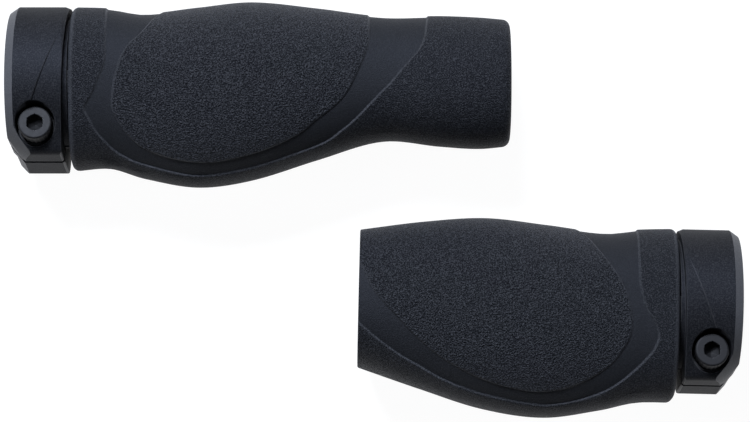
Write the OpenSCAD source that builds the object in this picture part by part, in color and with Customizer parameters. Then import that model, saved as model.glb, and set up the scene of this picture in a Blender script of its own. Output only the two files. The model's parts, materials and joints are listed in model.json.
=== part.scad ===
// Pair of lock-on handlebar grips: a long one, and a short one for a twist-shifter side.
// Millimetres, +Z up. The pair lies on a table, bars along X, origin under its middle.

/* [Pair] */
// Length of the long grip with its clamp
long_len = 130.7; // [108:1:156]
// Length of the short grip with its clamp
short_len = 99.1; // [82:0.5:119]
// Distance between the two outboard end faces
pair_span = 190.2; // [180:0.2:240]
// Room between the heel of the long grip and the crest of the short one
row_room = 9.9; // [8:0.1:30]
// Turn of the short grip on the table
short_yaw = 1.3; // [0:0.1:4]
// Turn of the short sleeve on its core
short_roll = 11; // [0:0.5:14]

/* [Bar] */
// Diameter of the handlebar
bar_d = 22.2; // [21.8:0.1:22.8]
// Radial room for the bar in core and clamp
bar_fit = 0.1; // [0.05:0.01:0.2]

/* [Sleeve] */
// Rubber over the core at the crest
crest_wall = 8.1; // [6.8:0.1:12]
// Rubber over the core at the heel of the long grip
long_heel_wall = 14.3; // [11:0.1:19]
// Rubber over the core at the heel of the short grip
short_heel_wall = 16.8; // [12:0.1:20]
// Rubber over the core on the palm face and the finger face
belly_wall = 6.6; // [6:0.1:8]
// Rubber over the core at the neck between thumb and finger
neck_wall = 3.1; // [2.4:0.1:4.8]
// Rubber over the core at the inboard mouth of the long grip
mouth_wall = 3.4; // [2.4:0.1:5.2]
// Rubber over the core at the inboard mouth of the short grip
cut_wall = 4.7; // [2.8:0.1:6.2]
// Squareness of the section, 2 for an ellipse
face_n = 2.2; // [2:0.1:2.6]
// Squareness of the section at the heel's back corner
heel_n = 3; // [2:0.1:3.6]
// Rounding of the sleeve edge at the clamp
lip_round = 1.6; // [0.5:0.1:2.2]
// Rounding of the mouth of the long grip
mouth_round = 1.8; // [0.3:0.1:2.2]
// Rounding of the mouth of the short grip
cut_round = 0.4; // [0.2:0.1:1.5]
// Depth of the smooth band between the leaf pad and the rim
band_depth = 0.4; // [0.1:0.05:0.7]
// Width of the step at the edge of the band
band_step = 0.5; // [0.3:0.1:1]

/* [Core] */
// Wall of the core tube
core_wall = 2; // [1.5:0.1:2.6]
// Thickness of the core flange beside the clamp
flange_t = 1; // [0.6:0.1:1.6]
// Radial height of the flange
flange_h = 2.9; // [2.4:0.1:3.2]
// Number of dogs on the flange
dogs = 3; // [2:1:3]
// Radial height of a dog
dog_h = 2.8; // [2:0.1:2.9]
// Width of a dog
dog_w = 6; // [3:0.5:8]
// Length of a dog
dog_len = 2.4; // [1.5:0.1:2.6]
// Room around a dog in its notch
dog_fit = 0.3; // [0.2:0.05:0.5]
// Step of the core end inside the mouth
core_inset = 0.8; // [0.2:0.1:2]
// Gap between clamp and flange
face_gap = 0.3; // [0.2:0.05:0.5]
// Lead-in bevel of the bar bores
lead = 0.6; // [0.4:0.1:1]

/* [Clamp] */
// Wall of the clamp ring round the bar
ring_wall = 8.8; // [7.8:0.1:10.8]
// Width of the clamp along the bar
clamp_w = 15.9; // [14.8:0.1:18]
// Width of the outboard bevel along the bar
bevel_w = 2.2; // [0.8:0.1:3]
// Radial height of the outboard bevel
bevel_h = 1.5; // [0.6:0.1:2.2]
// Width of the inboard bevel along the bar
edge_w = 1.7; // [0.6:0.1:2.2]
// Radial height of the inboard bevel
edge_h = 0.7; // [0.3:0.1:1.2]
// Width of the clamping slit
slit = 1.5; // [0.8:0.1:2.2]
// Turn of the clamp screw from the palm face
clamp_turn = 13.8; // [4:0.2:18]
// Reach of both jaws past the ring
jaw_out = 1.4; // [0.2:0.1:2]
// Wall of the tapped jaw behind the bar
jaw_wall = 4.8; // [4:0.1:7]
// Corner radius of the tapped jaw
jaw_round = 4.5; // [1.5:0.1:5]
// Corner radius of the near jaw
lug_round = 3; // [1.5:0.1:4]
// Height of the near jaw above the slit plane
lug_h = 10; // [9.6:0.1:10.6]
// Width of the sloped outboard corner of the jaws
slope_w = 3.8; // [1:0.1:5]
// Height of the sloped outboard corner of the jaws
slope_h = 4.5; // [1:0.1:6]
// Bevel of the inboard corner of the jaws
jaw_bevel = 1.5; // [0.5:0.1:2]
// Step of the inboard face outside the hub, at the far side from the jaws
face_step = 0.4; // [0.2:0.1:0.8]
// Slant of the stepped face, which opens the gap toward the jaws
face_slant = 1.8; // [0:0.2:3]
// Wall of the hub outside the notches for the dogs
hub_wall = 0.8; // [0.5:0.1:1]
// Depth of the relief beside the screw
relief_deep = 0.6; // [0.2:0.05:0.8]
// Angle round the ring at which the relief runs out
relief_end = 30; // [20:1:40]
// Width of the relief over the bar axis
relief_w = 5.3; // [3:0.1:7]
// Slant of the relief's edge
relief_slant = 21; // [10:1:30]

/* [Screw] */
// Thread diameter
screw_d = 5; // [4:0.1:5.2]
// Length under the head
screw_len = 20; // [18:0.5:22]
// Diameter of the head
head_d = 8.7; // [7:0.1:10.4]
// Height of the head
head_h = 5; // [3.5:0.1:6]
// Hexagon socket across flats
hex_af = 4; // [3:0.1:4.4]
// Depth of the hexagon socket
hex_deep = 2.6; // [1.5:0.1:3]
// Bevel of the head's rim
head_bevel = 0.5; // [0.2:0.1:0.8]
// Bevel of the screw's point
point_bevel = 0.6; // [0.3:0.1:1]
// Lead-in of the hexagon socket
hex_lead = 0.35; // [0.2:0.05:0.5]
// Web between the screw hole and the bar bore
screw_web = 0.6; // [0.5:0.05:1]
// Shift of the screw from the middle of the clamp toward its outboard face
screw_shift = 0.2; // [0:0.1:0.5]
// Height of the screw seat above the slit plane
seat_h = 8.4; // [7.8:0.1:9]
// Rim of the washer round the screw head
washer_rim = 0.5; // [0.2:0.1:0.6]
// Thickness of the washer
washer_t = 1; // [0.6:0.1:1.2]
// Radial room for the screw in washer and near jaw
screw_room = 0.3; // [0.2:0.05:0.35]
// Radial room in the tapped hole
thread_fit = 0.05; // [0.02:0.01:0.1]
// Radial room around the washer
seat_room = 0.3; // [0.3:0.05:0.4]
// Gap between faces that rest on each other
rest_gap = 0.05; // [0.02:0.01:0.1]

/* [Cap] */
// Lip of the cap disc past the spigot's seat
cap_lip = 0.9; // [0.6:0.05:2.4]
// Step of the cap face inside the clamp face
cap_face = 0.15; // [0:0.05:0.4]
// Thickness of the cap disc
cap_t = 1.4; // [1:0.1:2]
// Width of the rim round the cap's dish
dish_rim = 2.6; // [1.5:0.1:5]
// Depth of the cap's dish
dish = 0.5; // [0.2:0.1:0.8]
// Length of the cap spigot
spigot_len = 3; // [2:0.1:4]
// Wall of the cap spigot
spigot_wall = 1.6; // [1:0.1:2.5]
// Step of the spigot seat outside the bar bore, the stop for the bar
seat_step = 0.4; // [0.3:0.05:0.8]
// Radial fit of the spigot in the clamp
spigot_fit = 0.1; // [0.05:0.01:0.2]
// Room around the cap disc
cap_room = 0.3; // [0.2:0.05:0.4]

/* [Hidden] */
eps = 0.01;
$fn = 96;

bore_r = bar_d / 2 + bar_fit;
core_r = bore_r + core_wall;
sleeve_r = core_r + rest_gap;
crest_up = core_r + crest_wall;
long_heel = core_r + long_heel_wall;
short_heel = core_r + short_heel_wall;
belly_face = core_r + belly_wall;
neck_r = core_r + neck_wall;
mouth_r = core_r + mouth_wall;
cut_r = core_r + cut_wall;
flange_x = clamp_w + face_gap;
flange_r = core_r + flange_h;

clamp_r = bore_r + ring_wall;
jaw_down = clamp_r + jaw_out;
jaw_back = bore_r + jaw_wall;
hub_r = core_r + dog_h + dog_fit + hub_wall;
// middle of the relief's round, and direction of the near jaw's flat that runs into it
relief_at = relief_deep * [cos(relief_end), -sin(relief_end)];
lug_at = [lug_round - jaw_down, lug_h - lug_round];
lug_arm = lug_at - relief_at;
lug_turn = atan2(lug_arm[1], lug_arm[0]) - acos((clamp_r - lug_round) / norm(lug_arm));
lug_side = [cos(lug_turn), sin(lug_turn)];

// height of both bars above the table, so that clamps and bellies rest on it
axis_h = max(clamp_r, belly_face + 0.2);
// fall of the short grip's belly toward the other row by its turn
yaw_lift = short_len / 2 * sin(short_yaw);
heel_low = short_heel + 1.1;
// distance between the two bar axes at the short grip's outboard end
row_gap = crest_up + long_heel + row_room;
long_y = (row_gap - yaw_lift - crest_up + heel_low) / 2;
short_y = long_y - row_gap;

seat_r = bore_r + seat_step;
cap_r = seat_r + cap_lip;
recess_r = cap_r + cap_room;
recess_x = cap_face + cap_t + rest_gap;
spigot_x = recess_x + spigot_len;
stop_x = spigot_x + rest_gap;

screw_r = screw_d / 2;
screw_x = clamp_w / 2 - screw_shift;
screw_off = bore_r + screw_web + screw_room + screw_r;
washer_d = head_d + 2 * washer_rim;
washer_z = seat_h + rest_gap;
head_z = washer_z + washer_t + rest_gap;

columns = 72;

// Sections along each sleeve: share of its length, then reach up, down, palm and fingers
long_form = [
  [0, clamp_r, clamp_r + 3.2, belly_face - 1.4, belly_face - 0.4],
  [0.084, crest_up - 1.6, long_heel - 4.9, belly_face - 1.8, belly_face - 1.2],
  [0.163, crest_up - 2.9, long_heel - 2.3, belly_face - 1.4, belly_face - 1],
  [0.286, crest_up - 1.4, long_heel, belly_face - 0.2, belly_face],
  [0.41, crest_up, long_heel - 1.9, belly_face, belly_face],
  [0.559, crest_up - 1.6, (long_heel + neck_r) / 2 - 1.6, belly_face - 1.6, belly_face - 1.6],
  [0.709, neck_r + 1.3, neck_r - 0.9, neck_r, neck_r],
  [0.841, mouth_r + 1.1, mouth_r + 0.1, mouth_r + 0.3, mouth_r + 0.2],
  [0.93, mouth_r + 0.7, mouth_r + 0.7, mouth_r + 0.5, mouth_r + 0.5],
  [1, mouth_r, mouth_r, mouth_r, mouth_r]
];
short_form = [
  [0, clamp_r, clamp_r + 5.4, belly_face - 1.4, belly_face - 0.4],
  [0.116, crest_up - 1.7, short_heel - 4.3, belly_face - 1.6, belly_face - 1.2],
  [0.226, crest_up - 2.7, short_heel - 2.1, belly_face - 1.2, belly_face - 1],
  [0.409, crest_up - 1.1, short_heel + 0.2, belly_face, belly_face - 0.2],
  [0.604, crest_up + 0.4, short_heel - 1.8, belly_face, belly_face - 0.2],
  [0.799, crest_up - 0.9, (short_heel + cut_r) / 2 - 0.6, belly_face - 1, belly_face - 1],
  [1, cut_r, cut_r, cut_r - 0.3, cut_r - 0.3]
];

// Edges of the smooth band: angle round the section from the top, share of the length
long_rim_out = [[0, 0.077], [60, 0.083], [80, 0.08], [98, 0.053], [106, 0.037], [114, 0.047],
  [130, 0.076], [146, 0.137], [153, 0.28]];
long_rim_in = [[0, 0.811], [30, 0.809], [60, 0.797], [82, 0.752], [99, 0.707], [122, 0.652],
  [134, 0.615], [145, 0.56], [150, 0.45], [153, 0.31]];
long_leaf_out = [[0, 0.208], [15, 0.2], [46, 0.167], [61, 0.137], [77, 0.116], [100, 0.1],
  [111, 0.106], [130, 0.159], [136, 0.22], [139, 0.31]];
long_leaf_in = [[0, 0.677], [52, 0.677], [65, 0.672], [86, 0.649], [105, 0.612], [119, 0.555],
  [129, 0.507], [136, 0.42], [139, 0.33]];
short_rim_out = [[0, 0.104], [61, 0.117], [86, 0.102], [96, 0.074], [103, 0.062], [110, 0.07],
  [119, 0.091], [135, 0.173], [146, 0.256], [153, 0.4]];
short_rim_in = [[0, 1.25], [60, 1.2], [90, 1.08], [109, 0.993], [128, 0.899], [141, 0.771],
  [146, 0.641], [153, 0.42]];
short_leaf_out = [[0, 0.311], [8, 0.299], [41, 0.237], [67, 0.178], [89, 0.141], [102, 0.141],
  [113, 0.178], [125, 0.239], [135, 0.34], [139, 0.42]];
short_leaf_in = [[0, 1.2], [40, 1.06], [56, 0.982], [87, 0.937], [102, 0.866], [116, 0.801],
  [126, 0.726], [131, 0.65], [135, 0.57], [139, 0.43]];
long_lines = [long_rim_out, long_leaf_out, long_leaf_in, long_rim_in];
short_lines = [short_rim_out, short_leaf_out, short_leaf_in, short_rim_in];

// Smooth curve through rows of [place, value, ...], column c
function row_at(t, rows, k = 0) = (k >= len(rows) - 2 || t <= rows[k + 1][0]) ? k : row_at(t, rows, k + 1);
function slope(k, rows, c) =
  let (a = max(k - 1, 0))
  let (b = min(k + 1, len(rows) - 1))
  (rows[b][c] - rows[a][c]) / (rows[b][0] - rows[a][0]);
function curve(t, rows, c) =
  let (k = row_at(t, rows))
  let (h = rows[k + 1][0] - rows[k][0])
  let (u = min(1, max(0, (t - rows[k][0]) / h)))
  rows[k][c] * (2 * u * u * u - 3 * u * u + 1)
  + slope(k, rows, c) * h * (u * u * u - 2 * u * u + u)
  + rows[k + 1][c] * (3 * u * u - 2 * u * u * u)
  + slope(k + 1, rows, c) * h * (u * u * u - u * u);

// Point of the section in the plane across the bar, at angle p from the top toward the palm
function reach(form, t, sunk) = [for (c = [1:4]) curve(t, form, c) - sunk];
function rim_point(r, p) =
  let (n = (cos(p) < 0 && sin(p) < 0) ? heel_n : face_n)
  [
    (cos(p) < 0 ? -r[1] : r[0]) * pow(abs(cos(p)), 2 / n),
    (sin(p) < 0 ? -r[3] : r[2]) * pow(abs(sin(p)), 2 / n)
  ];

// Depth of the surface below the full form: the band is sunk, the leaf and the rim are not
function side_angle(p) = p > 180 ? 360 - p : p;
function tip(line) = line[len(line) - 1][0];
function rise(d) = min(1, max(0, d / band_step + 0.5));
function between(x, p, a, b, size) =
  p > tip(a) ? 0 : rise(x - curve(p, a, 1) * size) * rise(curve(p, b, 1) * size - x);
function sunk_at(x, p, lines, size) =
  band_depth * between(x, p, lines[0], lines[3], size) * (1 - between(x, p, lines[1], lines[2], size));

// Places along one column of the skin: the edges of the band, and points spread between them
function knots(p, lines, size) = [
  for (i = [0:5])
  let (x = i == 0 ? 0 : i == 5 ? size : curve(min(p, tip(lines[i - 1]) - 3), lines[i - 1], 1) * size)
  min(size - 2.4 - (5 - i) * 1.2, max(2.4 + i * 1.2, x))
];
parts = [2, 2, 12, 3, 5];
function ordered(k, i = 0, low = 0) =
  i > 5 ? [] : concat([max(k[i], low)], ordered(k, i + 1, max(k[i], low) + 1.2));
function column_x(p, lines, size) =
  let (k = ordered(knots(p, lines, size)))
  [
    for (i = [0:4])
    for (j = [0:parts[i]])
    k[i] + band_step / 2 + (k[i + 1] - k[i] - band_step) * j / parts[i]
  ];

// Rubber skin: rounded edge at the clamp, columns with the leaf pad, rounded mouth
function skin_points(form, lines, size, start_r, end_r) =
  let (cols = [for (i = [0:columns - 1]) column_x(side_angle(360 * i / columns), lines, size)])
  let (rings = len(cols[0]))
  [
    for (a = [90:-30:0])
    for (i = [0:columns - 1])
    let (x = start_r * (1 - sin(a)))
    skin_point(form, x, size, start_r * (1 - cos(a)), i),
    for (j = [0:rings - 1])
    for (i = [0:columns - 1])
    let (x = cols[i][j])
    skin_point(form, x, size, sunk_at(x, side_angle(360 * i / columns), lines, size), i),
    for (a = [0:30:90])
    for (i = [0:columns - 1])
    let (x = size - end_r * (1 - sin(a)))
    let (band = sunk_at(x, side_angle(360 * i / columns), lines, size))
    skin_point(form, x, size, band + end_r * (1 - cos(a)), i)
  ];
function skin_point(form, x, size, sunk, i) =
  let (q = rim_point(reach(form, x / size, sunk), 360 * i / columns))
  [x, q[0], q[1]];

module skin(form, lines, size, start_r, end_r) {
  points = skin_points(form, lines, size, start_r, end_r);
  rings = len(points) / columns;
  sides = [
    for (j = [0:rings - 2])
    for (i = [0:columns - 1])
    let (a = j * columns + i)
    let (b = j * columns + (i + 1) % columns)
    for (f = [[a, a + columns, b + columns], [a, b + columns, b]])
    f
  ];
  first = [for (i = [0:columns - 1]) i];
  last = [for (i = [columns - 1:-1:0]) (rings - 1) * columns + i];
  polyhedron(points, concat([first], sides, [last]), convexity = 6);
}

// Round bar along X, and a conical one
module rod(r, x0, x1) {
  cone(r, r, x0, x1);
}

module cone(r0, r1, x0, x1) {
  translate([x0, 0, 0])
    rotate([0, 90, 0])
      cylinder(r1 = r0, r2 = r1, h = x1 - x0);
}

// Placing of the long grip, of the short grip and of a clamp's own parts
module on_long() {
  translate([-pair_span / 2, long_y, axis_h])
    children();
}

module on_short() {
  translate([pair_span / 2, short_y, axis_h])
    rotate([0, 0, -short_yaw])
      mirror([1, 0, 0])
        children();
}

module on_clamp() {
  rotate([-clamp_turn, 0, 0])
    children();
}

module on_screw() {
  on_clamp()
    translate([screw_x, -screw_off, 0])
      children();
}

// One dog on the flange, or its notch with room g
module dog(g, depth) {
  intersection() {
    difference() {
      rod(core_r + dog_h + g, flange_x - depth, flange_x + flange_t / 2);
      rod(core_r - g, flange_x - depth - 1, flange_x + flange_t);
    }
    translate([flange_x - depth - 1, 0, -dog_w / 2 - g])
      cube([depth + 4, clamp_r, dog_w + 2 * g]);
  }
}

module dog_ring(g, depth) {
  for (k = [0:dogs - 1])
    rotate([k == 0 ? 0 : k == 1 ? 105 : -105, 0, 0])
      dog(g, depth);
}

// Core: tube inside the rubber, flange beside the clamp, dogs that keep the clamp from turning
module core(size) {
  difference() {
    union() {
      rod(core_r, flange_x + flange_t / 2, size - core_inset);
      rod(flange_r, flange_x, flange_x + flange_t);
      on_clamp()
        dog_ring(0, face_gap + dog_len);
    }
    rod(bore_r, flange_x - 20, size + 1);
    cone(bore_r + lead, bore_r, flange_x, flange_x + lead);
    cone(bore_r, bore_r + lead, size - core_inset - lead, size - core_inset);
  }
}

// Sleeve: one rubber moulding over the core and its flange
module sleeve(size, form, lines, end_r, roll) {
  difference() {
    translate([flange_x, 0, 0])
      rotate([-roll, 0, 0])
        skin(form, lines, size - flange_x, lip_round, end_r);
    rod(sleeve_r, 0, size + 1);
    rod(flange_r + rest_gap, 0, flange_x + flange_t + rest_gap);
  }
}

// Clamp: ring with a slit, tapped jaw behind it, seat for the screw, recess for the cap
module ring_form() {
  rotate([0, 90, 0])
    rotate_extrude()
      polygon([
        [0, 0],
        [clamp_r - bevel_h, 0],
        [clamp_r, bevel_w],
        [clamp_r, clamp_w - edge_w],
        [clamp_r - edge_h, clamp_w],
        [0, clamp_w]
      ]);
}

module jaw_form() {
  translate([bevel_w / 2, 0, 0])
    rotate([90, 0, 90])
      linear_extrude(clamp_w - bevel_w / 2 - edge_h) {
        polygon([
          [0, -slit / 2],
          [-jaw_down, -slit / 2],
          [-jaw_down, jaw_round - jaw_back],
          [jaw_round - jaw_down, -jaw_back],
          [-6, -jaw_back],
          [0, -bore_r]
        ]);
        translate([jaw_round - jaw_down, jaw_round - jaw_back])
          circle(r = jaw_round);
      }
}

// Near jaw: stands out as far as the tapped one, with a flat that runs into the ring
module lug_form() {
  intersection() {
    translate([bevel_w / 2, 0, 0])
      rotate([90, 0, 90])
        linear_extrude(clamp_w - bevel_w / 2 - edge_h) {
          polygon([
            [0, slit / 2],
            [-jaw_down, slit / 2],
            [-jaw_down, lug_at[1]],
            lug_at + lug_round * lug_side,
            relief_at + clamp_r * lug_side,
            [0, clamp_r / 2]
          ]);
          translate(lug_at)
            circle(r = lug_round);
        }
    cone(clamp_r - bevel_h, clamp_r - bevel_h + bevel_h / bevel_w * clamp_w, 0, clamp_w);
  }
}

// Step of the inboard face round the hub, deeper toward the jaws
module face_cut() {
  difference() {
    translate([clamp_w - face_step, clamp_r, 0])
      rotate([0, 0, -face_slant])
        translate([0, -3 * clamp_r, -2 * clamp_r])
          cube([clamp_r, 4 * clamp_r, 4 * clamp_r]);
    rod(hub_r, 0, clamp_w + 1);
  }
}

// Slope at the outboard corner of both jaws, and a bevel at the inboard one
module corner_cuts() {
  k = slope_h / slope_w;
  translate([0, 0, -2 * clamp_r])
    linear_extrude(4 * clamp_r) {
      polygon([
        [-1, slope_h + k - jaw_down],
        [-1, -2 * jaw_down],
        [slope_w + jaw_down / k, -2 * jaw_down]
      ]);
      polygon([
        [clamp_w - edge_h - jaw_bevel, -jaw_down - eps],
        [clamp_w + 1, -jaw_down + jaw_bevel + edge_h + 1],
        [clamp_w + 1, -2 * jaw_down],
        [clamp_w - edge_h - jaw_bevel, -2 * jaw_down]
      ]);
    }
}

// Relief beside the screw: deepest at the jaws, running out on the ring, with a slanted edge
module relief() {
  far = 2 * clamp_r;
  run = far * tan(relief_slant);
  difference() {
    linear_extrude(far)
      polygon([
        [clamp_w - relief_w - run, -far],
        [clamp_w - relief_w + run, far],
        [2 * far, far],
        [2 * far, -far]
      ]);
    translate([0, relief_at[0], relief_at[1]])
      rod(clamp_r, -1, 3 * far);
  }
}

module clamp() {
  difference() {
    union() {
      difference() {
        ring_form();
        relief();
      }
      jaw_form();
      lug_form();
    }
    corner_cuts();
    face_cut();
    rod(recess_r, -1, recess_x);
    rod(seat_r, -1, stop_x);
    rod(bore_r, -1, clamp_w + 1);
    cone(bore_r, bore_r + lead, clamp_w - lead, clamp_w);
    translate([-1, -2 * clamp_r, -slit / 2])
      cube([clamp_w + 2, 2 * clamp_r, slit]);
    translate([screw_x, -screw_off, 0]) {
      cylinder(r = screw_r + screw_room, h = clamp_r);
      translate([0, 0, seat_h])
        cylinder(r = washer_d / 2 + seat_room, h = clamp_r);
      translate([0, 0, -30])
        cylinder(r = screw_r + thread_fit, h = 31);
    }
    dog_ring(dog_fit, face_gap + dog_len + dog_fit);
  }
}

// Washer under the screw head
module washer() {
  translate([0, 0, washer_z])
    difference() {
      cylinder(r = washer_d / 2, h = washer_t);
      translate([0, 0, -1])
        cylinder(r = screw_r + screw_room, h = washer_t + 2);
    }
}

// Socket-head screw with a plain shank and a hexagon socket
module screw() {
  translate([0, 0, head_z])
    difference() {
      rotate_extrude()
        polygon([
          [0, -screw_len],
          [screw_r - point_bevel, -screw_len],
          [screw_r, point_bevel - screw_len],
          [screw_r, 0],
          [head_d / 2 - 0.2, 0],
          [head_d / 2, 0.2],
          [head_d / 2, head_h - head_bevel],
          [head_d / 2 - head_bevel, head_h],
          [0, head_h]
        ]);
      translate([0, 0, head_h - hex_deep])
        cylinder(d = hex_af / cos(30), h = hex_deep + 1, $fn = 6);
      translate([0, 0, head_h - hex_lead])
        cylinder(r1 = hex_af / 2, r2 = hex_af / 2 + 0.6, h = 0.6);
    }
}

// Cap: dished disc in the recess of the clamp, spigot in the clamp's bore
module cap() {
  r = seat_r - spigot_fit;
  translate([cap_face, 0, 0])
    rotate([0, 90, 0])
      rotate_extrude()
        polygon([
          [0, dish],
          [cap_r - dish_rim - 0.6, dish],
          [cap_r - dish_rim, 0],
          [cap_r - 0.4, 0],
          [cap_r, 0.4],
          [cap_r, cap_t],
          [r, cap_t],
          [r, cap_t + spigot_len - 0.5],
          [r - 0.4, cap_t + spigot_len],
          [r - spigot_wall, cap_t + spigot_len],
          [r - spigot_wall, cap_t + 0.6],
          [0, cap_t + 0.6]
        ]);
}

module long_core() {
  color([0.1, 0.1, 0.11])
    on_long()
      core(long_len);
}

module long_sleeve() {
  color([0.15, 0.15, 0.18])
    on_long()
      sleeve(long_len, long_form, long_lines, mouth_round, 0);
}

module long_clamp() {
  color([0.22, 0.22, 0.25])
    on_long()
      on_clamp()
        clamp();
}

module long_washer() {
  color([0.3, 0.3, 0.32])
    on_long()
      on_screw()
        washer();
}

module long_screw() {
  color([0.12, 0.12, 0.13])
    on_long()
      on_screw()
        screw();
}

module long_cap() {
  color([0.09, 0.09, 0.1])
    on_long()
      cap();
}

module short_core() {
  color([0.1, 0.1, 0.11])
    on_short()
      core(short_len);
}

module short_sleeve() {
  color([0.15, 0.15, 0.18])
    on_short()
      sleeve(short_len, short_form, short_lines, cut_round, short_roll);
}

module short_clamp() {
  color([0.22, 0.22, 0.25])
    on_short()
      on_clamp()
        clamp();
}

module short_washer() {
  color([0.3, 0.3, 0.32])
    on_short()
      on_screw()
        washer();
}

module short_screw() {
  color([0.12, 0.12, 0.13])
    on_short()
      on_screw()
        screw();
}

module short_cap() {
  color([0.09, 0.09, 0.1])
    on_short()
      cap();
}

long_core();
long_sleeve();
long_clamp();
long_washer();
long_screw();
long_cap();
short_core();
short_sleeve();
short_clamp();
short_washer();
short_screw();
short_cap();
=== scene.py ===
import json
import math

import bpy
import numpy as np
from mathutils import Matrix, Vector


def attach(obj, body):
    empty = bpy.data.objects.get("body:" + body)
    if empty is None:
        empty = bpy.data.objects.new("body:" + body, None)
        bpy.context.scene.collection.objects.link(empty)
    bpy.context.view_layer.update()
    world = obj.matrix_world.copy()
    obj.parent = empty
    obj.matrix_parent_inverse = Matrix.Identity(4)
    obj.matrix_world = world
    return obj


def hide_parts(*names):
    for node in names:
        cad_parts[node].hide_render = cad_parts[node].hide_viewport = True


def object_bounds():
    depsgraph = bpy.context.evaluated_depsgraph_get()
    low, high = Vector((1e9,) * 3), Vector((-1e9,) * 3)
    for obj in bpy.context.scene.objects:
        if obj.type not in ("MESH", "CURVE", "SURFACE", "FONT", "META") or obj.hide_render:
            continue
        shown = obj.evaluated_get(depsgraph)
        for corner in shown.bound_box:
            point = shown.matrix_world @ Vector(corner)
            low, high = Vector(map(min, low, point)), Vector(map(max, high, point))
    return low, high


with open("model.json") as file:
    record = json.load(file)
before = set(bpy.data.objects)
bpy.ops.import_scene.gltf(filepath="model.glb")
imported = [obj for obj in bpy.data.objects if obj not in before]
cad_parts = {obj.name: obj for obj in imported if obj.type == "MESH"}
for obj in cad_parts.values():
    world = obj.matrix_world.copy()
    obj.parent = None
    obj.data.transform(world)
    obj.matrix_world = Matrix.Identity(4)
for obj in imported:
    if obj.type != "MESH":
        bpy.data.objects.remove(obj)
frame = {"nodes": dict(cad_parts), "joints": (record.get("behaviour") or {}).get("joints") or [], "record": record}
cad_low, cad_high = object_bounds()

# Cores. Each is a tube of glass-filled nylon with a thin flange and three dogs at its
# outboard end, injection moulded. The sleeve is moulded over it, so that only the
# flange's edge and the bore show.


class Wire:
    """A socket in one material, on which arithmetic adds Math nodes."""

    def __init__(self, tree, socket=None):
        self.tree = tree
        self.socket = socket

    def node(self, kind, settings=None, inputs=None, out=0):
        made = self.tree.nodes.new(kind)
        for key, value in (settings or {}).items():
            setattr(made, key, value)
        for key, value in (inputs or {}).items():
            if isinstance(value, Wire):
                self.tree.links.new(value.socket, made.inputs[key])
            else:
                made.inputs[key].default_value = value
        return Wire(self.tree, made.outputs[out])

    def math(self, operation, first, second):
        return self.node("ShaderNodeMath", {"operation": operation}, {0: first, 1: second})

    def __add__(self, other):
        return self.math("ADD", self, other)

    def __radd__(self, other):
        return self.math("ADD", other, self)

    def __sub__(self, other):
        return self.math("SUBTRACT", self, other)

    def __rsub__(self, other):
        return self.math("SUBTRACT", other, self)

    def __mul__(self, other):
        return self.math("MULTIPLY", self, other)

    def __rmul__(self, other):
        return self.math("MULTIPLY", other, self)

    def __abs__(self):
        return self.node("ShaderNodeMath", {"operation": "ABSOLUTE"}, {0: self})

    def places(self):
        return self.node("ShaderNodeTexCoord", out="Object")

    def noise(self, per_metre, detail=2.0):
        inputs = {"Vector": self.places(), "Scale": per_metre, "Detail": detail}
        return self.node("ShaderNodeTexNoise", None, inputs, "Fac")

    def cells(self, per_metre, feature, where):
        inputs = {"Vector": where, "Scale": per_metre}
        return self.node("ShaderNodeTexVoronoi", {"feature": feature}, inputs, "Distance")

    def spread(self, low, high):
        inputs = {"Value": self, "From Min": low, "From Max": high}
        return self.node("ShaderNodeMapRange", {"interpolation_type": "SMOOTHSTEP"}, inputs)

    def blend(self, dark, tone_and_painted_highlights):
        settings = {"data_type": "RGBA"}
        inputs = {"Factor": self, 6: (*dark, 1.0), 7: (*tone_and_painted_highlights, 1.0)}
        return self.node("ShaderNodeMix", settings, inputs, 2)

    def rounded(self, radius, samples=6):
        return self.node("ShaderNodeBevel", {"samples": samples}, {"Radius": radius})

    def relief(self, depth, over=None):
        inputs = {"Height": self, "Distance": depth}
        if over:
            inputs["Normal"] = over
        return self.node("ShaderNodeBump", None, inputs)


def new_finish(name, **sockets):
    """A material with fixed values on its shader, and a wire to build the rest from."""
    material = bpy.data.materials.new(name)
    material.use_nodes = True
    shader = material.node_tree.nodes["Principled BSDF"]
    for socket, value in sockets.items():
        shader.inputs[socket.replace("_", " ").title().replace("Ior", "IOR")].default_value = value
    return material, Wire(material.node_tree), shader


def feed(shader, wires):
    for socket, wire in wires.items():
        wire.tree.links.new(wire.socket, shader.inputs[socket])


def dress(node, material):
    mesh = frame["nodes"][node].data
    mesh.materials.clear()
    mesh.materials.append(material)


SIDES = ("long", "short")
NYLON_DARK = (0.012, 0.012, 0.013)
NYLON_FIBRE = (0.026, 0.026, 0.029)
NYLON_EDGE = 0.00025
FIBRE_DEPTH = 0.00004

nylon, wire, shader = new_finish("glass_filled_nylon", specular_ior_level=0.45)
fibres = wire.noise(2600, 3.0)
worn = wire.noise(220)
rounded = wire.rounded(NYLON_EDGE)
feed(shader, {
    "Base Color": fibres.spread(0.35, 0.7).blend(NYLON_DARK, NYLON_FIBRE),
    "Roughness": 0.48 + 0.14 * worn,
    "Normal": fibres.relief(FIBRE_DEPTH, rounded),
})
for side in SIDES:
    dress(f"{side}_core", nylon)


# Sleeves. Each is one moulding of soft black rubber over its core, swept out into a wing
# for the heel of the hand. A raised leaf with a leather grain lies on the palm side, inside
# a smooth sunken band, and the collar, the rim and the mouth have a finer grain.

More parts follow.
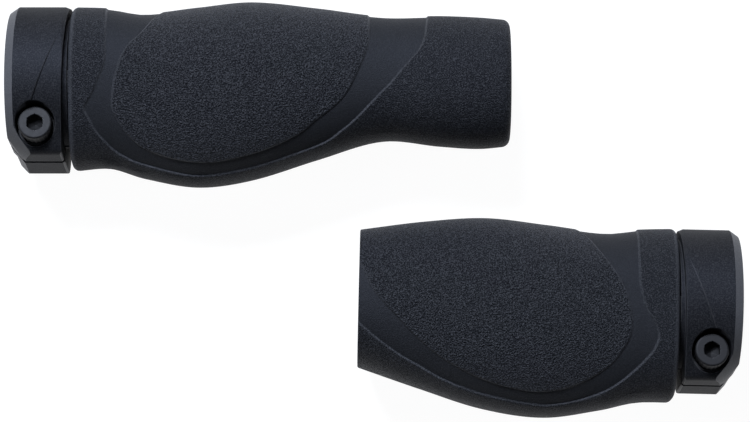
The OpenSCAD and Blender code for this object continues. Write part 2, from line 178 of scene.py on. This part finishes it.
# sizes in millimetres; FACET_ROOM keeps the fine skin inside the faceted one of the CAD
MM = 0.001
CLAMP_RING = 20.0
CREST_UP = 21.3
LONG_HEEL = 27.5
SHORT_HEEL = 30.0
FLANGE_POCKET = (16.15, 1.05)
BELLY = 19.8
NECK = 16.3
MOUTH = 16.6
CUT = 17.9
SLEEVE_BORE = 13.25
FACE_SQUARENESS = 2.2
HEEL_SQUARENESS = 3.0
LIP_ROUND = 1.6
MOUTH_ROUND = {"long": 1.8, "short": 0.4}
BAND_DEPTH = 0.4
BAND_STEP = 0.7
FACET_ROOM = 0.03
SCREW_LEAN = {"long": math.radians(13.8), "short": math.radians(2.8)}
HAND = {"long": 1, "short": -1}
COLUMNS = 480
ROUND_ROWS = 7
ROUND_START = 0.1
STEP_ROWS = 7
STEP_REACH = 0.75
FIELD_ROWS = (5, 5, 56, 14, 22)
LEAST_FIELD = 2.6
SKIN_PER_DEGREE = 0.42
# middle and reach of the painted highlight along the lip, in shares of the lip's rounding
LIP_HIGHLIGHT_MIDDLE = 0.4
LIP_HIGHLIGHT_REACH = 0.5

# share of the sleeve's length, then its reach up, down, to the palm and to the fingers
SLEEVE_FORM = {
    "long": [
        (0, CLAMP_RING, CLAMP_RING + 3.2, BELLY - 1.4, BELLY - 0.4),
        (0.084, CREST_UP - 1.6, LONG_HEEL - 4.9, BELLY - 1.8, BELLY - 1.2),
        (0.163, CREST_UP - 2.9, LONG_HEEL - 2.3, BELLY - 1.4, BELLY - 1),
        (0.286, CREST_UP - 1.4, LONG_HEEL, BELLY - 0.2, BELLY),
        (0.41, CREST_UP, LONG_HEEL - 1.9, BELLY, BELLY),
        (0.559, CREST_UP - 1.6, (LONG_HEEL + NECK) / 2 - 1.6, BELLY - 1.6, BELLY - 1.6),
        (0.709, NECK + 1.3, NECK - 0.9, NECK, NECK),
        (0.841, MOUTH + 1.1, MOUTH + 0.1, MOUTH + 0.3, MOUTH + 0.2),
        (0.93, MOUTH + 0.7, MOUTH + 0.7, MOUTH + 0.5, MOUTH + 0.5),
        (1, MOUTH, MOUTH, MOUTH, MOUTH),
    ],
    "short": [
        (0, CLAMP_RING, CLAMP_RING + 5.4, BELLY - 1.4, BELLY - 0.4),
        (0.116, CREST_UP - 1.7, SHORT_HEEL - 4.3, BELLY - 1.6, BELLY - 1.2),
        (0.226, CREST_UP - 2.7, SHORT_HEEL - 2.1, BELLY - 1.2, BELLY - 1),
        (0.409, CREST_UP - 1.1, SHORT_HEEL + 0.2, BELLY, BELLY - 0.2),
        (0.604, CREST_UP + 0.4, SHORT_HEEL - 1.8, BELLY, BELLY - 0.2),
        (0.799, CREST_UP - 0.9, (SHORT_HEEL + CUT) / 2 - 0.6, BELLY - 1, BELLY - 1),
        (1, CUT, CUT, CUT - 0.3, CUT - 0.3),
    ],
}

# edges of the band and of the leaf: degrees round the section from the top, share of the length
RIM_OUT = {
    "long": [(0, 0.077), (60, 0.083), (80, 0.08), (98, 0.053), (106, 0.037), (114, 0.047),
             (130, 0.076), (146, 0.137), (153, 0.28)],
    "short": [(0, 0.124), (50, 0.126), (72, 0.126), (83, 0.124), (92, 0.115), (98, 0.101),
              (105, 0.077), (113, 0.064), (119, 0.071), (124.5, 0.085), (135, 0.126),
              (144.5, 0.174), (153, 0.24), (158, 0.32), (160, 0.4)],
}
RIM_IN = {
    "long": [(0, 0.811), (30, 0.809), (60, 0.797), (82, 0.752), (99, 0.707), (122, 0.652),
             (134, 0.615), (145, 0.56), (150, 0.45), (153, 0.31)],
    "short": [(0, 1.25), (60, 1.2), (100, 1.08), (120.5, 0.987), (129, 0.942), (140, 0.866),
              (146, 0.804), (152, 0.74), (155.5, 0.665), (158, 0.54), (160, 0.42)],
}
LEAF_OUT = {
    "long": [(0, 0.208), (15, 0.2), (46, 0.167), (61, 0.137), (77, 0.116), (100, 0.1),
             (111, 0.106), (130, 0.159), (136, 0.22), (139, 0.31)],
    "short": [(0, 0.33), (20, 0.31), (45, 0.27), (60, 0.238), (70, 0.214), (80, 0.189),
              (89, 0.17), (95, 0.158), (101, 0.151), (108, 0.15), (114, 0.156), (122, 0.179),
              (130, 0.214), (139, 0.285), (144, 0.36), (146.5, 0.44)],
}
LEAF_IN = {
    "long": [(0, 0.677), (52, 0.677), (65, 0.672), (86, 0.649), (105, 0.612), (119, 0.555),
             (129, 0.507), (136, 0.42), (139, 0.33)],
    "short": [(0, 1.2), (50, 1.06), (70, 1.0), (89, 0.959), (100, 0.917), (111, 0.866),
              (116, 0.844), (125, 0.793), (133, 0.733), (138, 0.673), (142, 0.61),
              (145, 0.535), (146.5, 0.45)],
}


def curve(at, rows, column=1):
    """Smooth curve through given rows of place and values."""
    table = np.array(rows, float)
    place, value = table[:, 0], table[:, column]
    last = len(place) - 1
    before = np.maximum(np.arange(last + 1) - 1, 0)
    after = np.minimum(np.arange(last + 1) + 1, last)
    slope = (value[after] - value[before]) / (place[after] - place[before])
    k = np.clip(np.searchsorted(place, at) - 1, 0, last - 1)
    run = place[k + 1] - place[k]
    u = np.clip((at - place[k]) / run, 0, 1)
    start = value[k] * (2 * u**3 - 3 * u**2 + 1) + slope[k] * run * (u**3 - 2 * u**2 + u)
    return start + value[k + 1] * (3 * u**2 - 2 * u**3) + slope[k + 1] * run * (u**3 - u**2)


def ease(distance):
    t = np.clip(distance / BAND_STEP + 0.5, 0, 1)
    return t * t * (3 - 2 * t)


def squareness(angle, edge, size):
    """Distance square to an edge of the skin for each millimetre along the bar."""
    run = (curve(angle + 0.5, edge) - curve(angle - 0.5, edge)) * size
    return 1 / math.hypot(1, run / SKIN_PER_DEGREE)


def inside(x, angle, low_edge, high_edge, size):
    """One between two edges of the skin, nought outside them, eased over the step."""
    tip = low_edge[-1][0]
    if angle >= tip:
        return np.zeros_like(x)
    past_low = (x - curve(angle, low_edge) * size) * squareness(angle, low_edge, size)
    short_of_high = (curve(angle, high_edge) * size - x) * squareness(angle, high_edge, size)
    return ease(past_low) * ease(short_of_high)


def column_places(angle, edges, size, lip, mouth):
    """Places along one column: close together at the steps, spread out between them."""
    stops = [lip]
    for k, edge in enumerate(edges):
        tip = edge[-1][0]
        seen = angle if angle <= tip else 2 * tip - angle
        highest = size - mouth - LEAST_FIELD * (len(edges) - k)
        lowest = stops[-1] + LEAST_FIELD
        stops.append(min(max(curve(seen, edge) * size, lowest), highest))
    stops.append(size - mouth)
    last = len(FIELD_ROWS) - 1
    round_turns = np.linspace(ROUND_START, math.pi / 2, ROUND_ROWS)
    step_shares = np.linspace(-STEP_REACH, STEP_REACH, STEP_ROWS)
    places = [lip * (1 - np.sin(round_turns[::-1]))]
    for k, count in enumerate(FIELD_ROWS):
        low = stops[k] + (BAND_STEP if k else 0)
        high = stops[k + 1] - (BAND_STEP if k < last else 0)
        places.append(np.linspace(low, high, count + 1))
        if k < last:
            places.append(stops[k + 1] + BAND_STEP * step_shares)
    places.append(size - mouth * (1 - np.sin(round_turns)))
    return np.concatenate(places)


def end_inset(x, size, lip, mouth):
    """How far the rounded ends pull the surface in."""
    at_lip = np.clip((lip - x) / lip, 0, 1)
    at_mouth = np.clip((x - size + mouth) / mouth, 0, 1)
    return lip * (1 - np.sqrt(1 - at_lip**2)) + mouth * (1 - np.sqrt(1 - at_mouth**2))


def grip_directions(side):
    """A point on the bar's axis, then the ways inboard, up across the palm and out of it."""
    mount = next(m for m in frame["record"]["mounts"] if m["name"] == f"{side}_bar_bore")
    screw = next(j for j in frame["joints"] if j["name"] == f"{side}_screw_turn")
    bar = Vector(mount["axis"]).normalized()
    out = Vector(screw["axis"]).normalized()
    across = out.cross(bar) * HAND[side]
    lean = SCREW_LEAN[side]
    palm = out * math.cos(lean) - across * math.sin(lean)
    up = out * math.sin(lean) + across * math.cos(lean)
    return Vector(mount["pos_m"]), bar, up, palm


def sleeve_mesh(side):
    point, bar, up, palm = grip_directions(side)
    along = [(v.co - point).dot(bar) for v in frame["nodes"][f"{side}_sleeve"].data.vertices]
    start = point + bar * min(along)
    size = (max(along) - min(along)) / MM
    lip, mouth = LIP_ROUND, MOUTH_ROUND[side]
    edges = (RIM_OUT[side], LEAF_OUT[side], LEAF_IN[side], RIM_IN[side])
    rings, leaf_share, band_share, lip_highlight_share = [], [], [], []
    for column in range(COLUMNS):
        turn = 360 * column / COLUMNS
        angle = 360 - turn if turn > 180 else turn
        x = column_places(angle, edges, size, lip, mouth)
        leaf = inside(x, angle, edges[1], edges[2], size)
        rim = inside(x, angle, edges[0], edges[3], size)
        band = rim * (1 - leaf)
        sunk = FACET_ROOM + BAND_DEPTH * band + end_inset(x, size, lip, mouth)
        reaches = [curve(x / size, SLEEVE_FORM[side], k) - sunk for k in (1, 2, 3, 4)]
        above, below, front, back = reaches
        c, s = math.cos(math.radians(turn)), math.sin(math.radians(turn))
        n = HEEL_SQUARENESS if c < 0 and s < 0 else FACE_SQUARENESS
        rise = (above if c >= 0 else -below) * abs(c) ** (2 / n)
        out = (front if s >= 0 else -back) * abs(s) ** (2 / n)
        # the bore and the flange's pocket close the section, in line with the skin's two ends
        pocket, deep = FLANGE_POCKET
        radius = np.array([SLEEVE_BORE, SLEEVE_BORE, pocket, pocket])
        toward = np.array([math.atan2(out[k], rise[k]) for k in (-1, 0, 0, 0)])
        # mask of a painted highlight along the rounded lip at the clamp end
        at_lip = np.clip(1 - np.abs(x / lip - LIP_HIGHLIGHT_MIDDLE) / LIP_HIGHLIGHT_REACH, 0, 1)
        x = np.concatenate([x, [size, deep, deep, 0]])
        rise = np.concatenate([rise, radius * np.cos(toward)])
        out = np.concatenate([out, radius * np.sin(toward)])
        rings.append(np.stack([x, rise, out], axis=1))
        unseen = np.zeros(len(radius))
        leaf_share.append(np.concatenate([leaf, unseen]))
        band_share.append(np.concatenate([band, unseen]))
        lip_highlight_share.append(np.concatenate([at_lip, unseen]))
    local = np.array(rings) * MM
    axes = np.array([bar, up, palm])
    points = local.reshape(-1, 3) @ axes + np.array(start)
    count = local.shape[1]
    faces = []
    for column in range(COLUMNS):
        here, there = column * count, (column + 1) % COLUMNS * count
        for k in range(count):
            after = (k + 1) % count
            quad = (here + k, here + after, there + after, there + k)
            faces.append(quad[::-1] if HAND[side] > 0 else quad)
    mesh = bpy.data.meshes.new(f"{side}_rubber")
    mesh.from_pydata(points.tolist(), [], faces)
    mesh.shade_smooth()
    for name, values in (("leaf", leaf_share), ("band", band_share), ("lip", lip_highlight_share)):
        layer = mesh.attributes.new(name, "FLOAT", "POINT")
        layer.data.foreach_set("value", np.array(values, np.float32).ravel())
    return mesh


RUBBER_DARK = (0.003, 0.0032, 0.0036)
RUBBER_LIGHT = (0.036, 0.037, 0.04)
COOL_SHEEN = (0.76, 0.82, 1.0, 1.0)
LEATHER_DEPTH = 0.0006
PEBBLE_BEND = (0.0005, 0.0005, 0.0005)

rubber, wire, shader = new_finish(
    "grained_rubber",
    specular_ior_level=0.16,
    specular_tint=COOL_SHEEN,
    sheen_weight=0.03,
    sheen_roughness=0.35,
    sheen_tint=COOL_SHEEN,
)
leaf = wire.node("ShaderNodeAttribute", {"attribute_name": "leaf"}, out="Fac")
band = wire.node("ShaderNodeAttribute", {"attribute_name": "band"}, out="Fac")
# the lip attribute carries the mask of the painted lip highlight
lip = wire.node("ShaderNodeAttribute", {"attribute_name": "lip"}, out="Fac")
rim = 1 - leaf - band
places = wire.places()
wander = wire.node("ShaderNodeTexNoise", None, {"Vector": places, "Scale": 700.0}, "Color")
pull = {0: wander, 1: PEBBLE_BEND, 2: places}
bent = wire.node("ShaderNodeVectorMath", {"operation": "MULTIPLY_ADD"}, pull)
pebble = wire.cells(1250, "DISTANCE_TO_EDGE", bent).spread(0.0, 0.4)
swell = wire.noise(3000, 1.0)
fine = wire.noise(3200, 1.0)
dust = wire.noise(5200, 2.0)
patch = wire.noise(60, 3.0)
ridge = 4 * band * (1 - band)
grain = leaf * (swell + 0.3 * pebble) + 0.7 * rim * fine + 0.25 * band * fine + 0.05 * dust
# painted highlights: lighter colour along the band's steps and along the lip, plus a little random tone from the
# patches
painted_highlights_and_patches = ridge * (0.35 + 1.5 * fine.spread(0.42, 0.6)) + 0.9 * lip + 0.1 * patch
# lighter colour on the grain's tops: the grain's own tone and painted glints
grain_tone_and_painted_glints = leaf * swell.spread(0.38, 0.7) + 0.75 * rim * fine.spread(0.42, 0.7)
# colour factor: band and grain tone together with the painted highlights and glints
tone_and_painted_highlights = 0.02 + band * (0.14 + 0.2 * fine.spread(0.35, 0.7)) + grain_tone_and_painted_glints + painted_highlights_and_patches
dull = 0.58 + 0.08 * patch - 0.06 * leaf * pebble + 0.04 * rim + 0.06 * band - 0.1 * ridge
feed(shader, {
    "Base Color": tone_and_painted_highlights.blend(RUBBER_DARK, RUBBER_LIGHT),
    "Roughness": dull,
    "Normal": grain.relief(LEATHER_DEPTH),
})
for side in SIDES:
    sleeve = bpy.data.objects.new(f"{side}_rubber_sleeve", sleeve_mesh(side))
    bpy.context.scene.collection.objects.link(sleeve)
    sleeve.data.materials.append(rubber)
    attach(sleeve, f"{side}_grip")
    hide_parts(f"{side}_sleeve")


# Clamps. Each is a slit ring forged in aluminium, machined at the bore, the slit and the
# screw seat, bead-blasted and anodised satin black. It pushes on to the core's dogs.

ANODISED = (0.0035, 0.0036, 0.004)
RUBBED_AND_HIGHLIGHT = (0.075, 0.075, 0.078)
CLAMP_EDGE = 0.0004
EDGE_TURN = (0.01, 0.2)
BLAST_DEPTH = 0.00006


def find_edges(wire, rounded):
    """The flat normal, and one where the rounded normal turns away from it at an edge."""
    flat = wire.node("ShaderNodeNewGeometry", out="Normal")
    both = {0: rounded, 1: flat}
    straight = wire.node("ShaderNodeVectorMath", {"operation": "DOT_PRODUCT"}, both, "Value")
    return flat, (1 - straight).spread(*EDGE_TURN)


anodised, wire, shader = new_finish(
    "satin_black_anodising",
    specular_ior_level=0.2,
    specular_tint=COOL_SHEEN,
)
rounded = wire.rounded(CLAMP_EDGE, 8)
flat, edge = find_edges(wire, rounded)
# the bevels, faces turned toward either end of the bar, get a lighter colour as a painted highlight; they are also
# made less rough
slant = abs(wire.node("ShaderNodeSeparateXYZ", None, {"Vector": flat}, "X"))
painted_bevel_highlight = slant.spread(0.4, 0.5) * (1 - slant.spread(0.75, 0.9))
blast = wire.noise(3300, 1.0)
patch = wire.noise(90, 3.0)
# lighter edges: real edge wear and a painted edge highlight
worn = edge * (0.2 + patch)
tone_and_painted_highlights = 0.2 * blast.spread(0.4, 0.7) + 0.78 * painted_bevel_highlight + 0.6 * worn
feed(shader, {
    "Base Color": tone_and_painted_highlights.blend(ANODISED, RUBBED_AND_HIGHLIGHT),
    "Roughness": 0.62 + 0.1 * patch - 0.1 * edge - 0.15 * painted_bevel_highlight,
    "Normal": blast.relief(BLAST_DEPTH, rounded),
})
for side in SIDES:
    dress(f"{side}_clamp", anodised)


# Washers. Each is a plain stamped steel washer, blackened, loose on its screw between the
# head and the seat in the clamp.

OXIDE = (0.005, 0.005, 0.006)
BARE_STEEL_AND_HIGHLIGHT = (0.15, 0.15, 0.155)
STEEL_EDGE = 0.0002
STAIN_DEPTH = 0.00001

oxide, wire, shader = new_finish("black_oxide_steel", metallic=0.6, specular_ior_level=0.5)
rounded = wire.rounded(STEEL_EDGE)
flat, edge = find_edges(wire, rounded)
stain = wire.noise(900, 3.0)
feed(shader, {
    # lighter edges: real wear to bare steel and a painted edge highlight
    "Base Color": (0.06 * stain + 0.7 * edge).blend(OXIDE, BARE_STEEL_AND_HIGHLIGHT),
    "Roughness": 0.52 + 0.16 * stain - 0.3 * edge,
    "Normal": stain.relief(STAIN_DEPTH, rounded),
})
for side in SIDES:
    dress(f"{side}_washer", oxide)


# Screws. Each is a steel M5 socket-head screw with a 0.8 mm rolled thread, black oxide,
# that passes the near jaw freely and screws into the far jaw.

HEAD_RADIUS = 4.35
HEAD_HEIGHT = 5.0
HEAD_ROUND = 0.5
HEAD_ROUND_ROWS = 7
HEAD_ROUND_START = 0.05
ROUND_MARGIN = 0.1
FOOT_ROUND = 0.25
FOOT_SHOULDER = (0.06, 0.08)
HEX_FLATS = 4.0
HEX_DEPTH = 2.6
HEX_FILLET = 0.04
HEX_LEAD = 0.16
LEAD_DEPTHS = (0.4, 0.25, 0.06)
LEAD_TAPER = 0.96
LEAD_FLARE = 1.03
DRILL_POINT = 0.9
CENTRE = 0.02
SHANK_RADIUS = 2.5
SHANK_LENGTH = 20.0
NECK_FILLET = 0.1
THREAD_PITCH = 0.8
THREAD_DEPTH = 0.42
THREAD_FLANK = 1.25
CREST_FLAT = 0.1
THREAD_START = -0.6
THREAD_FADE = 1.6
ROWS_PER_PITCH = 8
POINT_BEVEL = 0.6
SPOKES = 96
KNURL_DEPTH = 0.12
KNURL_TOP = 0.2
KNURL_FOOT = 0.45
SHARP_EDGE = math.radians(20)


def hex_radius(turns, flats):
    sixth = math.pi / 3
    return flats / 2 / np.cos((turns + sixth / 2) % sixth - sixth / 2)


def screw_rings():
    """Rings from the socket's floor over the head and down the thread, as radius and height."""
    turns = 2 * math.pi * np.arange(SPOKES) / SPOKES
    flat = np.ones(SPOKES)
    socket = hex_radius(turns, HEX_FLATS)
    lead = np.maximum(socket, HEX_FLATS / 2 + HEX_LEAD)
    floor = HEAD_HEIGHT - HEX_DEPTH
    rings = [(CENTRE * flat, floor - DRILL_POINT)]
    rings += [(LEAD_TAPER * socket, floor - HEX_FILLET / 2), (socket, floor + HEX_FILLET)]
    wide = np.maximum(socket, LEAD_TAPER * lead)
    rings += [(r, HEAD_HEIGHT - z) for r, z in zip((socket, socket, wide), LEAD_DEPTHS)]
    rings.append((lead * LEAD_FLARE, HEAD_HEIGHT))
    rings.append((flat * (HEAD_RADIUS - HEAD_ROUND - ROUND_MARGIN), HEAD_HEIGHT))
    for lean in np.linspace(HEAD_ROUND_START, math.pi / 2, HEAD_ROUND_ROWS):
        out = HEAD_RADIUS - HEAD_ROUND * (1 - math.sin(lean))
        rings.append((flat * out, HEAD_HEIGHT - HEAD_ROUND * (1 - math.cos(lean))))
    knurl = HEAD_RADIUS - KNURL_DEPTH * (np.arange(SPOKES) // 2 % 2)
    rings += [(knurl, HEAD_HEIGHT - HEAD_ROUND - KNURL_TOP), (knurl, KNURL_FOOT)]
    shoulder, shoulder_height = FOOT_SHOULDER
    rings.append((flat * HEAD_RADIUS, FOOT_ROUND))
    rings.append((flat * (HEAD_RADIUS - shoulder), shoulder_height))
    rings.append((flat * (HEAD_RADIUS - FOOT_ROUND), 0.0))
    rings.append((flat * (SHANK_RADIUS + NECK_FILLET), 0.0))
    rings.append((flat * SHANK_RADIUS, -NECK_FILLET))
    rows = round((SHANK_LENGTH + THREAD_START) / THREAD_PITCH * ROWS_PER_PITCH)
    for z in np.linspace(THREAD_START, -SHANK_LENGTH, rows + 1):
        wave = np.abs(((z / THREAD_PITCH + turns / (2 * math.pi)) % 1) * 2 - 1)
        depth = THREAD_DEPTH * np.clip(THREAD_FLANK * wave - CREST_FLAT, 0, 1)
        tip = SHANK_RADIUS - max(0, POINT_BEVEL - SHANK_LENGTH - z)
        cut = depth * min(1, (THREAD_START - z) / THREAD_FADE)
        rings.append((np.minimum(SHANK_RADIUS - cut, tip), z))
    rings.append((CENTRE * flat, -SHANK_LENGTH))
    return turns, rings


def screw_mesh(side):
    joint = next(j for j in frame["joints"] if j["name"] == f"{side}_screw_turn")
    out = Vector(joint["axis"]).normalized()
    bar = grip_directions(side)[1]
    across = out.cross(bar)
    turns, rings = screw_rings()
    points = []
    for radius, height in rings:
        for r, turn in zip(radius, turns):
            spoke = bar * (r * math.cos(turn)) + across * (r * math.sin(turn))
            points.append(Vector(joint["pos_m"]) + (spoke + out * height) * MM)
    faces = [tuple(range(SPOKES))]
    for k in range(len(rings) - 1):
        for i in range(SPOKES):
            j = (i + 1) % SPOKES
            low, high = k * SPOKES, (k + 1) * SPOKES
            faces.append((low + i, high + i, high + j, low + j))
    last = (len(rings) - 1) * SPOKES
    faces.append(tuple(range(last, last + SPOKES))[::-1])
    mesh = bpy.data.meshes.new(f"{side}_screw_thread")
    mesh.from_pydata(points, [], faces)
    mesh.shade_smooth()
    mesh.set_sharp_from_angle(angle=SHARP_EDGE)
    return mesh


for side in SIDES:
    screw = bpy.data.objects.new(f"{side}_socket_screw", screw_mesh(side))
    bpy.context.scene.collection.objects.link(screw)
    screw.data.materials.append(oxide)
    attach(screw, f"{side}_screw")
    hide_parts(f"{side}_screw")


# Caps. Each is a moulded plug with a dished face, pressed into the outboard end of its
# clamp, where it also stops the end of the bar.

CAP_DARK = (0.011, 0.011, 0.012)
CAP_LIGHT = (0.024, 0.024, 0.026)
CAP_EDGE = 0.0003
SPARK_DEPTH = 0.00003

cap_plastic, wire, shader = new_finish("moulded_plug", specular_ior_level=0.45)
rounded = wire.rounded(CAP_EDGE)
spark = wire.cells(1900, "F1", wire.places())
patch = wire.noise(150, 3.0)
feed(shader, {
    "Base Color": patch.spread(0.3, 0.75).blend(CAP_DARK, CAP_LIGHT),
    "Roughness": 0.5 + 0.12 * patch,
    "Normal": spark.relief(SPARK_DEPTH, rounded),
})
for side in SIDES:
    dress(f"{side}_cap", cap_plastic)


# Studio. The pair lies on a plain table of dark grey tone that glows white, a painted glow brightest under the
# pair, under a soft box beyond the far side and low strips to the sides, and the camera looks straight down on it.

TABLE_TONE = (0.12, 0.12, 0.12)
TABLE_GLOW = 0.96
GLOW_ENDS = (0.115, 0.24)
GLOW_NEAR = (1.0, 1.0, 1.0)
GLOW_FAR = (0.5, 0.5, 0.5)
TABLE_DROP = 0.00005
AIR_STRENGTH = 0.05
LAMP_TONE = (0.79, 0.86, 1.0)
TABLE_HALF = 4.0
CAMERA_AT = (0.0003, 0.0001)
CAMERA_REACH = 0.8
PIXELS_PER_METRE = 3800
IMAGE_WIDTH = 750
AXIS_HEIGHT = 0.02

paper, wire, shader = new_finish(
    "pale_table",
    roughness=0.9,
    specular_ior_level=0.1,
    emission_strength=TABLE_GLOW,
)
from_middle = wire.node("ShaderNodeVectorMath", {"operation": "LENGTH"}, {0: wire.places()}, "Value")
feed(shader, {
    "Base Color": wire.noise(6.0).blend(TABLE_TONE, tuple(0.98 * t for t in TABLE_TONE)),
    # painted glow: full within 0.115 m of the middle, falling to half by 0.24 m
    "Emission Color": from_middle.spread(*GLOW_ENDS).blend(GLOW_NEAR, GLOW_FAR),
})
quarters = ((-1, -1), (1, -1), (1, 1), (-1, 1))
table_z = cad_low.z - TABLE_DROP
corners = [(x * TABLE_HALF, y * TABLE_HALF, table_z) for x, y in quarters]
table_mesh = bpy.data.meshes.new("table_top")
table_mesh.from_pydata(corners, [], [(0, 1, 2, 3)])
table_mesh.materials.append(paper)
table = bpy.data.objects.new("table_top", table_mesh)
bpy.context.scene.collection.objects.link(table)


def strip_light(name, place, width, depth, watts):
    lamp = bpy.data.lights.new(name, "AREA")
    lamp.shape = "RECTANGLE"
    lamp.size = width
    lamp.size_y = depth
    lamp.energy = watts
    lamp.color = LAMP_TONE
    stand = bpy.data.objects.new(name, lamp)
    stand.location = place
    stand.rotation_mode = "QUATERNION"
    stand.rotation_quaternion = (-Vector(place)).to_track_quat("-Z", "Y")
    bpy.context.scene.collection.objects.link(stand)


strip_light("soft_box", (-0.25, 0.72, 0.95), 0.4, 0.3, 27.0)
strip_light("left_strip", (-1.1, 0.0, 0.45), 0.3, 1.0, 2.8)
strip_light("right_strip", (1.1, 0.0, 0.45), 0.3, 1.0, 2.2)

sky = bpy.data.worlds.new("studio_air")
sky.use_nodes = True
air = sky.node_tree.nodes["Background"]
air.inputs["Color"].default_value = (*LAMP_TONE, 1.0)
air.inputs["Strength"].default_value = AIR_STRENGTH
bpy.context.scene.world = sky
bpy.context.scene.view_settings.view_transform = "Standard"

lens = bpy.data.cameras.new("copy_stand")
lens.sensor_width = 36.0
lens.lens = PIXELS_PER_METRE * CAMERA_REACH / IMAGE_WIDTH * lens.sensor_width
camera = bpy.data.objects.new("copy_stand", lens)
camera.location = (*CAMERA_AT, AXIS_HEIGHT + CAMERA_REACH)
bpy.context.scene.collection.objects.link(camera)
bpy.context.scene.camera = camera
